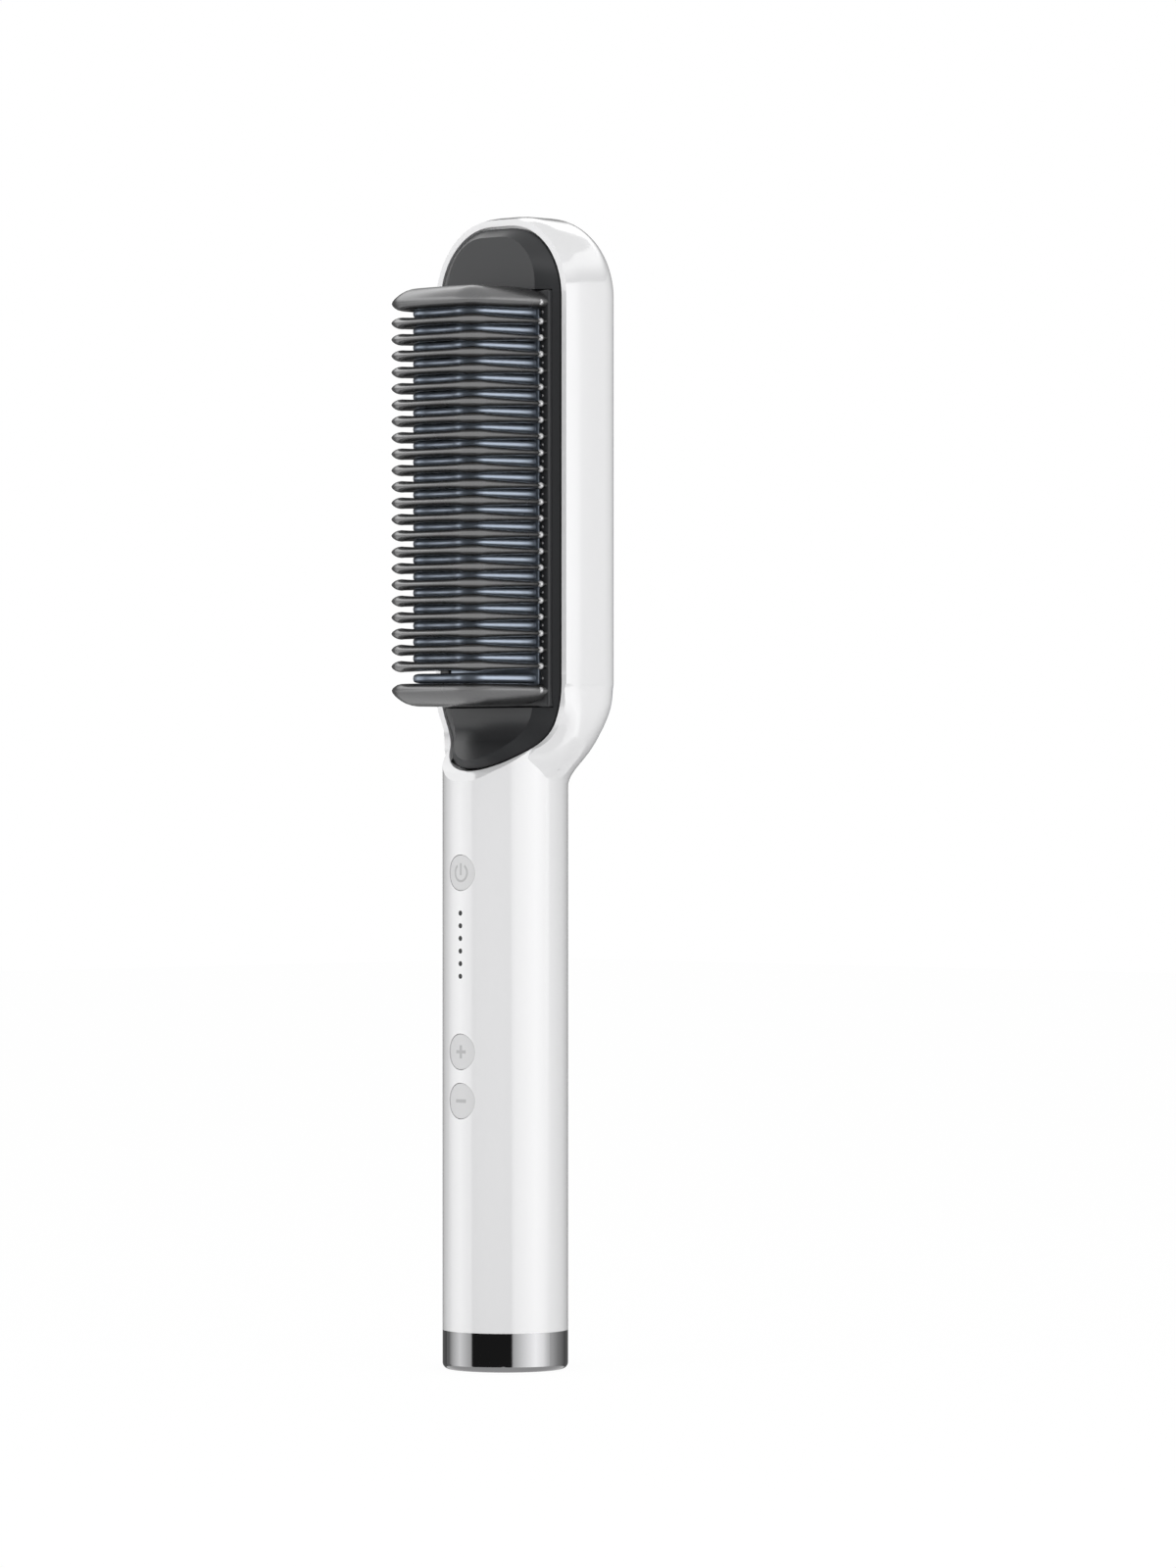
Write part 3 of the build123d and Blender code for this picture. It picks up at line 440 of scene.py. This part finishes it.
def blade(outline, upper, lower):
    """A closed blade round an arch: each side rises ring by ring from the rim to its full height."""
    whole = bmesh.new()
    for side, turn in ((upper, 1), (lower, -1)):
        shape = arch(*outline)
        face = shape.faces[:][0]
        inward = height = 0.0
        for depth, rise in side:
            bmesh.ops.inset_individual(
                shape, faces=[face], thickness=(depth - inward) * mm, depth=(rise - height) * mm,
                use_even_offset=True,
            )
            inward, height = depth, rise
        bmesh.ops.scale(shape, vec=(1, 1, turn), verts=shape.verts)
        add_copy(whole, finished(shape), (0, 0, 0))
    bmesh.ops.remove_doubles(whole, verts=whole.verts, dist=merge_reach)
    bmesh.ops.recalc_face_normals(whole, faces=whole.faces)
    return whole


def thickened(shape, step):
    """Makes the flat faces of a bmesh a closed wall: extrudes them by `step`, in millimetres."""
    raised = bmesh.ops.extrude_face_region(shape, geom=shape.faces[:])
    moved = [item for item in raised["geom"] if isinstance(item, bmesh.types.BMVert)]
    bmesh.ops.translate(shape, vec=Vector(step) * mm, verts=moved)
    bmesh.ops.recalc_face_normals(shape, faces=shape.faces)


def ball():
    """A bmesh with a round ball of radius 1."""
    shape = bmesh.new()
    bmesh.ops.create_uvsphere(shape, u_segments=ball_facets, v_segments=ball_rings, radius=1)
    return shape


def rounded(mesh):
    """Shades a mesh smooth apart from its crisp edges."""
    mesh.shade_smooth()
    mesh.set_sharp_from_angle(angle=crisp_edge)


surround = bmesh.new()
bmesh.ops.create_grid(surround, x_segments=1, y_segments=1, size=0.5)
surround_size = (2 * guard_half_width * mm, (guard_high - guard_low) * mm, 1)
bmesh.ops.scale(surround, vec=surround_size, verts=surround.verts)
window = surround.faces[:][0]
bmesh.ops.inset_individual(surround, faces=[window], thickness=rail_width * mm, use_even_offset=True)
bmesh.ops.delete(surround, geom=[window], context="FACES")
upright = Matrix.Rotation(math.radians(90), 3, "X")
bmesh.ops.rotate(surround, cent=(0, 0, 0), matrix=upright, verts=surround.verts)
surround_place = (0, -rail_forward * mm, (guard_high + guard_low) / 2 * mm)
bmesh.ops.translate(surround, vec=surround_place, verts=surround.verts)
thickened(surround, (0, rail_forward - guard_back, 0))
square_edges = [edge for edge in surround.edges if edge.calc_face_angle(0) > square_edge]
bmesh.ops.bevel(
    surround, geom=square_edges, offset=frame_edge * mm, affect="EDGES", segments=edge_facets,
    profile=0.5, material=-1,
)

rib_outline = (guard_half_width, arch_root, rib_shoulder_half_width, rib_shoulder, arch_crest, rib_corner)
rib = blade(rib_outline, rib_side, rib_side)
swell_x, swell_y = rib_shoulder_half_width - swell_inside, rib_shoulder - swell_below
for vert in rib.verts:
    x, forward = abs(vert.co.x) / mm, -vert.co.y / mm
    gap = math.hypot(x - swell_x, forward - swell_y) / rib_swell_reach
    up = min(max((forward - rail_forward) / (rib_shoulder - rail_forward), 0), 1)
    vert.co.z *= (rib_foot_share + (1 - rib_foot_share) * up) + rib_swell * math.exp(-gap * gap)
rib = finished(rib)

cheek_outline = (
    guard_half_width, arch_root, cheek_shoulder_half_width, cheek_shoulder, arch_crest, cheek_corner,
)
top_cheek = finished(blade(cheek_outline, outer_side, inner_side))
bottom_cheek = finished(blade(cheek_outline, inner_side, outer_side))

pip = ball()
bmesh.ops.scale(pip, vec=Vector((pip_radius, pip_rise, pip_radius)) * mm, verts=pip.verts)
pip = finished(pip)
toe = ball()
bmesh.ops.scale(toe, vec=Vector((toe_radius, toe_radius, toe_radius)) * mm, verts=toe.verts)
toe = finished(toe)

rib_heights = [rib_first + i * rib_pitch for i in range(rib_count)]
arch_heights = [low_cheek, *rib_heights, high_cheek]
gap_heights = [(low + high) / 2 for low, high in zip(arch_heights, arch_heights[1:])]
foot_lean = (guard_half_width - rib_shoulder_half_width) / (rib_shoulder - arch_root)
toe_side = guard_half_width - (toe_forward - arch_root) * foot_lean - toe_radius * toe_sunk
pip_side = guard_half_width - rail_width * pip_place

guard = bmesh.new()
add_copy(guard, finished(surround), (0, 0, 0), frame_finish)
for z in rib_heights:
    add_copy(guard, rib, (0, 0, z), rib_finish)
add_copy(guard, top_cheek, (0, 0, high_cheek), shaded_cheek_finish)
add_copy(guard, bottom_cheek, (0, 0, low_cheek), shaded_cheek_finish)
for z in gap_heights:
    for x in (-pip_side, pip_side):
        add_copy(guard, pip, (x, -rail_forward, z), rib_finish)
for z in arch_heights:
    for x in (-toe_side, toe_side):
        add_copy(guard, toe, (x, -toe_forward, z), toe_glint_finish)
guard = mesh_object("guard", finished(guard))
rounded(guard.data)
for material in (
    moulded(
        "guard graphite", rib_graphite, roughness=0.27, spread=0.05, grain=0.4, grain_scale=1400.0,
        metallic=0.9,
    ),
    moulded(
        "guard frame", cover_graphite, roughness=0.36, spread=0.06, grain=0.5, grain_scale=1400.0, shine=0.3
    ),
    # The toes' lighter grey is a painted glint; their glossier finish is real.
    moulded(
        "guard toe glints", toe_glint_grey, roughness=0.16, spread=0.03, grain=0.2, grain_scale=1400.0, metallic=0.3
    ),
    # The cheeks' darker graphite is painted shade on the same plastic as the ribs.
    moulded(
        "guard cheeks shaded", shaded_cheek_graphite, roughness=0.27, spread=0.05, grain=0.4, grain_scale=1400.0,
        metallic=0.9,
    ),
):
    guard.data.materials.append(material)
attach(guard, "comb_body")
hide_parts("comb_guard")

# ---- Heating fins ----------------------------------------------------------------------------
# One aluminium casting: a plate on the heater with a round-edged fin in each gap of the guard,
# under a smooth blue-grey ceramic coat.
fin_blue = (0.26, 0.30, 0.36, 1)
fin_half_width, fin_front, fin_sunk = 15.1, 4.0, 1.0
fin_shoulder, fin_shoulder_half_width, fin_dip, fin_corner = 23.5, 11.8, 1.2, 5.0
fin_side = ((0.08, 0.5), (0.25, 0.8), (0.6, 1.02), (1.1, 1.14), (1.8, 1.2))
plate_half_width, plate_back, plate_edge = 15.8, 1.0, 0.5
plate_end_gap = 1.3

fin_outline = (
    fin_half_width, fin_front - fin_sunk, fin_shoulder_half_width, fin_shoulder, fin_shoulder - fin_dip,
    fin_corner,
)
fin = finished(blade(fin_outline, fin_side, fin_side))
plate = bmesh.new()
bmesh.ops.create_cube(plate, size=1)
plate_size = (2 * plate_half_width, fin_front - plate_back, high_cheek - low_cheek - 2 * plate_end_gap)
bmesh.ops.scale(plate, vec=Vector(plate_size) * mm, verts=plate.verts)
plate_place = (0, -(fin_front + plate_back) / 2, (high_cheek + low_cheek) / 2)
bmesh.ops.translate(plate, vec=Vector(plate_place) * mm, verts=plate.verts)
bmesh.ops.bevel(
    plate, geom=plate.edges[:], offset=plate_edge * mm, affect="EDGES", segments=edge_facets,
    profile=0.5, material=-1,
)
fins = bmesh.new()
add_copy(fins, finished(plate), (0, 0, 0))
for z in gap_heights:
    add_copy(fins, fin, (0, 0, z))
fins = mesh_object("fins", finished(fins))
rounded(fins.data)
fins.data.materials.append(moulded(
    "fin coat", fin_blue, roughness=0.36, spread=0.05, grain=0.4, grain_scale=1200.0, metallic=0.65
))
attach(fins, "comb_body")
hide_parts("heating_fins")

# ---- Trim ring and back panel ----------------------------------------------------------------
# A satin silver-grey plated band on the head's back edge, and the glossy white crowned panel that
# seats inside it and hides the cover's screws.
trim_grey = (0.36, 0.37, 0.40, 1)
dress("trim_ring", moulded(
    "trim plating", trim_grey, roughness=0.5, spread=0.05, grain=0.4, grain_scale=1600.0, metallic=0.8
))
dress("back_panel", moulded("panel white", shell_white, roughness=0.1, spread=0.03, grain=0.1, coat=0.6))

# ---- Buttons ---------------------------------------------------------------------------------
# Three light grey caps in thin glossy bezels, flush with the round handle, each with its sign
# printed on it: power at the top, then warmer and cooler. Six small windows lie between them.
button_grey = (0.7, 0.7, 0.705, 1)
sign_grey = (0.5, 0.5, 0.505, 1)
bezel_white = (0.88, 0.88, 0.885, 1)
window_black = (0.008, 0.008, 0.009, 1)
cap_face_radius = 15.65
sign_rise = 0.03
power_height, plus_height, minus_height = 124.8, 80.0, 67.7
power_arc_radius, power_arc_stroke, power_arc_turn = 2.1, 0.57, 290
power_arc_steps = 40
power_bar, plus_bar, minus_bar = (0.6, 3.0), (0.8, 3.3), (3.5, 0.85)

for name in ("power_button", "plus_button", "minus_button"):
    dress(name, moulded(
        name.replace("_", " "), button_grey, roughness=0.45, spread=0.05, grain=1.0, grain_scale=2500.0
    ))
dress("button_bezels", moulded("bezel", bezel_white, roughness=0.15, coat=0.6))
dress("light_pipe", moulded("smoked window", window_black, roughness=0.3, shine=0.3))
sign_ink = moulded("sign ink", sign_grey, roughness=0.5, spread=0.05, grain=0.5, grain_scale=2500.0)


def bar(shape, width, height, right=0.0, up=0.0, facets=8):
    """A flat bar in X and Y, in millimetres, fine enough across to bend round the handle."""
    made = bmesh.ops.create_grid(shape, x_segments=facets, y_segments=1, size=0.5)["verts"]
    bmesh.ops.scale(shape, vec=(width, height, 1), verts=made)
    bmesh.ops.translate(shape, vec=(right, up, 0), verts=made)


def sign(name, shape, height, body):
    """Stands a flat sign on the round face of the button at `height` and lets it move with it."""
    for vert in shape.verts:
        x, up = vert.co.x, vert.co.y
        vert.co = Vector((x, -math.sqrt(cap_face_radius**2 - x * x), height + up)) * mm
    bmesh.ops.recalc_face_normals(shape, faces=shape.faces)
    front = shape.faces[:]
    if sum(face.normal.y for face in front) > 0:
        bmesh.ops.reverse_faces(shape, faces=front)
    thickened(shape, (0, -sign_rise, 0))
    mark = mesh_object(name, finished(shape))
    mark.data.materials.append(sign_ink)
    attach(mark, body)


shape = bmesh.new()
half_stroke = power_arc_stroke / 2
start = math.radians(90 + (360 - power_arc_turn) / 2)
ends = [
    shape.verts.new((reach * math.cos(start), reach * math.sin(start), 0))
    for reach in (power_arc_radius - half_stroke, power_arc_radius + half_stroke)
]
bmesh.ops.spin(
    shape, geom=[*ends, shape.edges.new(ends)], cent=(0, 0, 0), axis=(0, 0, 1),
    angle=math.radians(power_arc_turn), steps=power_arc_steps, use_merge=False,
)
bar(shape, *power_bar, up=power_arc_radius + half_stroke - power_bar[1] / 2)
sign("power_sign", shape, power_height, "power_key")

shape = bmesh.new()
bar(shape, *plus_bar)
arm = (plus_bar[1] - plus_bar[0]) / 2
for side in (-1, 1):
    bar(shape, arm, plus_bar[0], right=side * (plus_bar[1] - arm) / 2, facets=4)
sign("plus_sign", shape, plus_height, "plus_key")

shape = bmesh.new()
bar(shape, *minus_bar)
sign("minus_sign", shape, minus_height, "minus_key")

# ---- Heater ----------------------------------------------------------------------------------
# What lies behind the fins: a fired ceramic element under a spring clamp, held in a black frame
# by four screws, with its fuse, sensor and silicone leads. The cover's long screws pass above and
# below it.
ceramic_white = (0.86, 0.84, 0.8, 1)
plastic_black = (0.03, 0.03, 0.032, 1)
lead_white = (0.85, 0.85, 0.82, 1)
sensor_amber = (0.75, 0.55, 0.3, 1)
spring_steel = (0.6, 0.6, 0.6, 1)
screw_zinc = (0.55, 0.55, 0.56, 1)
fuse_tin = (0.7, 0.7, 0.7, 1)
line_stretch = (1, 1, 0.03)
screw_lines = 3000.0
drawn_relief = 0.00001


def drawn_group():
    """Fine draw lines of metal along Z: how rough it is from line to line, and its height."""
    settings = {"Line Scale": 2000.0, "Depth": 0.5, "Roughness": 0.3, "Spread": 0.15}
    group, given, made = face_group("drawn face", settings)
    place = group.nodes.new("ShaderNodeTexCoord")
    stretch = group.nodes.new("ShaderNodeMapping")
    stretch.inputs["Scale"].default_value = line_stretch
    lines = group.nodes.new("ShaderNodeTexNoise")
    group.links.new(place.outputs["Object"], stretch.inputs["Vector"])
    group.links.new(stretch.outputs["Vector"], lines.inputs["Vector"])
    group.links.new(given["Line Scale"], lines.inputs["Scale"])
    roughness = worked_out(group, "MULTIPLY_ADD", lines.outputs["Fac"], given["Spread"], given["Roughness"])
    height = worked_out(group, "MULTIPLY", lines.outputs["Fac"], given["Depth"])
    group.links.new(roughness, made["Roughness"])
    group.links.new(height, made["Height"])
    return group


drawn_face = drawn_group()


def drawn(name, colour, roughness, line_scale=2000.0):
    """Drawn or rolled bare metal: one colour under fine lines."""
    settings = {"Roughness": roughness, "Line Scale": line_scale}
    material, skin = skinned(name, colour, drawn_face, drawn_relief, settings)
    skin.inputs["Metallic"].default_value = 1.0
    return material


dress("ceramic_heater", moulded(
    "fired ceramic", ceramic_white, roughness=0.5, spread=0.1, grain=1.0, grain_scale=1800.0
))
dress("heater_clamp", drawn("spring steel", spring_steel, roughness=0.28))
dress("inner_frame", moulded(
    "frame black", plastic_black, roughness=0.5, spread=0.08, grain=0.8, grain_scale=1500.0
))
dress("frame_screws", drawn("frame screw zinc", screw_zinc, roughness=0.25, line_scale=screw_lines))
dress("cover_screws", drawn("cover screw zinc", screw_zinc, roughness=0.25, line_scale=screw_lines))
dress("thermal_fuse", drawn("fuse case", fuse_tin, roughness=0.22))
dress("temperature_sensor", moulded(
    "sensor glass", sensor_amber, roughness=0.08, spread=0.02, grain=0.1, coat=1.0
))
dress("heater_leads", moulded(
    "silicone lead", lead_white, roughness=0.55, spread=0.08, grain=0.6, grain_scale=2000.0
))

# ---- Control board ---------------------------------------------------------------------------
# Behind the buttons: a green board on a white carrier with switches, lamps, the power parts and
# two plugs, held by four screws. The supply leads run down to the contacts of the swivel.
board_green = (0.03, 0.2, 0.08, 1)
carrier_white = (0.8, 0.8, 0.8, 1)
switch_black = (0.04, 0.04, 0.04, 1)
lamp_clear = (0.8, 0.85, 0.9, 1)
sleeve_black = (0.05, 0.05, 0.06, 1)
plug_white = (0.85, 0.84, 0.8, 1)
dress("control_board", moulded(
    "solder mask", board_green, roughness=0.3, spread=0.05, grain=0.5, grain_scale=2500.0, coat=0.4
))
dress("board_carrier", moulded(
    "carrier white", carrier_white, roughness=0.45, spread=0.06, grain=0.6, grain_scale=1500.0
))
dress("board_screws", drawn("board screw zinc", screw_zinc, roughness=0.25, line_scale=screw_lines))
dress("tact_switches", moulded(
    "switch black", switch_black, roughness=0.4, spread=0.05, grain=0.5, grain_scale=3000.0
))
dress("status_lights", moulded("lamp resin", lamp_clear, roughness=0.1, spread=0.02, grain=0.1, coat=1.0))
dress("power_parts", moulded(
    "component sleeve", sleeve_black, roughness=0.35, spread=0.06, grain=0.4, grain_scale=2000.0
))
dress("wire_connectors", moulded(
    "plug white", plug_white, roughness=0.4, spread=0.06, grain=0.5, grain_scale=2000.0
))
dress("supply_leads", moulded(
    "lead sleeve", lead_white, roughness=0.5, spread=0.08, grain=0.6, grain_scale=2000.0
))

# ---- End ring --------------------------------------------------------------------------------
# The cup ring that the comb stands on, round the end cap: thin sheet, drawn in one piece and plated
# with dark polished chrome.
dark_chrome = (0.24, 0.24, 0.244, 1)
dress("end_ring", moulded("dark chrome", dark_chrome, roughness=0.06, spread=0.02, grain=0.1, metallic=1.0))

# ---- End cap and swivel ----------------------------------------------------------------------
# A black cap closes the handle inside the ring on two screws. The cord's gland turns in it, held
# by a spring clip, and its two slip rings meet brass leaves on a black post.
brass = (0.72, 0.55, 0.25, 1)
holder_black = (0.06, 0.06, 0.06, 1)
dress("end_cap", moulded(
    "cap black", plastic_black, roughness=0.4, spread=0.06, grain=0.8, grain_scale=1500.0
))
dress("cap_screws", drawn("cap screw zinc", screw_zinc, roughness=0.25, line_scale=screw_lines))
dress("swivel_gland", moulded(
    "gland black", plastic_black, roughness=0.35, spread=0.06, grain=0.8, grain_scale=1500.0
))
dress("gland_clip", drawn("clip zinc", screw_zinc, roughness=0.3))
dress("slip_rings", drawn("ring brass", brass, roughness=0.2))
dress("contact_holder", moulded(
    "holder black", holder_black, roughness=0.5, spread=0.08, grain=0.6, grain_scale=1500.0
))
dress("contact_leaves", drawn("leaf brass", brass, roughness=0.25))
